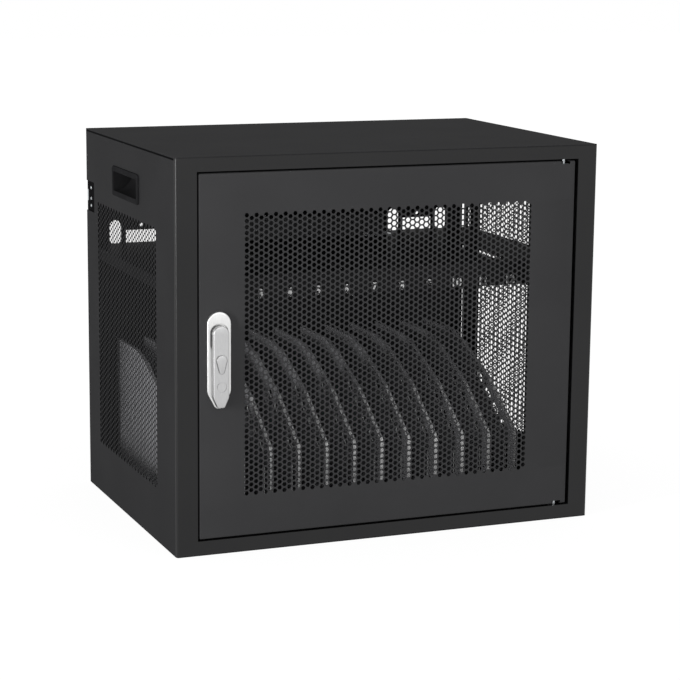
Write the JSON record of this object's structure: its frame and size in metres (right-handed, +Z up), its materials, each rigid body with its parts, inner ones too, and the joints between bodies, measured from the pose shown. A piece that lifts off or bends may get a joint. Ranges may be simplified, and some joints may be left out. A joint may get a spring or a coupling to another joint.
{
  "type": "charging station",
  "caption": "Lockable desktop charging cabinet: pierced door with a swing-handle lock, pierced sides, upright device slots, a charger shelf with outlet strips and a rear access door.",
  "frame": {"origin": "middle of the base on the surface that the cabinet stands on", "axes": "+X to the right as seen from the front, +Y from the front door to the back, +Z up"},
  "size_m": [0.594, 0.4294, 0.512],
  "materials": {
    "cabinet_powder_coat": "matte black powder coat",
    "hinge_powder_coat": "matte black powder coat",
    "door_powder_coat": "matte black powder coat",
    "inner_powder_coat": "matte black powder coat",
    "divider_powder_coat": "satin grey powder coat",
    "handle_plastic": "moulded black plastic",
    "lock_satin": "satin die-cast zinc",
    "lever_satin": "satin die-cast zinc, darker",
    "cover_satin": "satin die-cast zinc",
    "key_nickel": "nickel plate",
    "zinc_plate": "zinc plate",
    "screw_steel": "black-oxide steel",
    "bumper_rubber": "soft rubber",
    "strip_plastic": "black moulded plastic",
    "socket_plastic": "dark moulded plastic",
    "switch_red": "red moulded plastic"
  },
  "bodies": {
    "cabinet": {"front_frame": "cabinet_powder_coat", "top_panel": "cabinet_powder_coat", "base_panel": "cabinet_powder_coat", "left_side_panel": "cabinet_powder_coat", "right_side_panel": "cabinet_powder_coat", "carry_handle_left": "handle_plastic", "carry_handle_right": "handle_plastic", "rear_lower_panel": "cabinet_powder_coat", "rear_panel_screws": "screw_steel", "charger_shelf": "inner_powder_coat", "rack_base": "inner_powder_coat", "rack_back_rail": "inner_powder_coat", "door_bumpers": "bumper_rubber", "rear_strike": "zinc_plate", "rear_hinge_fixed_leaf": "hinge_powder_coat", "rear_hinge_pin": "zinc_plate", "divider_01": "divider_powder_coat", "divider_02": "divider_powder_coat", "divider_03": "divider_powder_coat", "divider_04": "divider_powder_coat", "divider_05": "divider_powder_coat", "divider_06": "divider_powder_coat", "divider_07": "divider_powder_coat", "divider_08": "divider_powder_coat", "divider_09": "divider_powder_coat", "divider_10": "divider_powder_coat", "divider_11": "divider_powder_coat", "divider_12": "divider_powder_coat", "divider_13": "divider_powder_coat", "outlet_strip_lower": "strip_plastic", "strip_fittings_lower": "socket_plastic", "outlet_strip_upper": "strip_plastic", "strip_fittings_upper": "socket_plastic", "strip_feet": "zinc_plate", "strip_screws": "screw_steel"},
    "front_door": {"front_door_panel": "door_powder_coat", "door_stiffener_lock_side": "door_powder_coat", "door_stiffener_hinge_side": "door_powder_coat", "pivot_bracket_top": "zinc_plate", "pivot_bracket_bottom": "zinc_plate", "pivot_pin_top": "zinc_plate", "pivot_pin_bottom": "zinc_plate", "lock_plate": "lock_satin", "lock_nut": "zinc_plate"},
    "lock_spindle": {"lock_spindle": "zinc_plate", "lock_cam": "zinc_plate", "cam_screw": "screw_steel"},
    "swing_lever": {"swing_lever": "lever_satin", "lever_tilt_pin": "zinc_plate"},
    "key_cylinder": {"key_cylinder": "key_nickel"},
    "keyhole_cover": {"keyhole_cover": "cover_satin"},
    "rear_door": {"rear_door_panel": "cabinet_powder_coat", "rear_hinge_moving_leaf": "zinc_plate", "rear_hinge_screws": "screw_steel", "rear_lock_barrel": "key_nickel", "rear_lock_nut": "zinc_plate"},
    "rear_lock": {"rear_lock_plug": "key_nickel", "rear_lock_cam": "zinc_plate"},
    "switch_lower": {"strip_switch_lower": "switch_red"},
    "switch_upper": {"strip_switch_upper": "switch_red"}
  },
  "joints": [
    {"name": "front_door_swing", "type": "hinge", "parent": "cabinet", "child": "front_door", "pos_m": [0.248, -0.197, 0.256], "axis": [0, 0, 1], "range_deg": [0, 115]},
    {"name": "spindle_turn", "type": "hinge", "parent": "front_door", "child": "lock_spindle", "pos_m": [-0.239, -0.21, 0.222], "axis": [0, 1, 0], "range_deg": [0, 90]},
    {"name": "lever_lift", "type": "hinge", "parent": "lock_spindle", "child": "swing_lever", "pos_m": [-0.239, -0.2146, 0.1966], "axis": [1, 0, 0], "range_deg": [0, 30]},
    {"name": "key_turn", "type": "hinge", "parent": "swing_lever", "child": "key_cylinder", "pos_m": [-0.239, -0.2186, 0.256], "axis": [0, 1, 0], "range_deg": [0, 90]},
    {"name": "cover_swing", "type": "hinge", "parent": "swing_lever", "child": "keyhole_cover", "pos_m": [-0.239, -0.2186, 0.2425], "axis": [0, 1, 0], "range_deg": [0, 110]},
    {"name": "rear_door_swing", "type": "hinge", "parent": "cabinet", "child": "rear_door", "pos_m": [-0.2895, 0.2055, 0.418], "axis": [0, 0, 1], "range_deg": [0, 110]},
    {"name": "rear_lock_turn", "type": "hinge", "parent": "rear_door", "child": "rear_lock", "pos_m": [0.263, 0.205, 0.418], "axis": [0, 1, 0], "range_deg": [0, 90]},
    {"name": "switch_lower_rock", "type": "hinge", "parent": "cabinet", "child": "switch_lower", "pos_m": [-0.116, 0.16, 0.383], "axis": [0, -1, 0], "range_deg": [0, 9]},
    {"name": "switch_upper_rock", "type": "hinge", "parent": "cabinet", "child": "switch_upper", "pos_m": [0.116, 0.16, 0.4775], "axis": [0, -1, 0], "range_deg": [0, 9]}
  ]
}
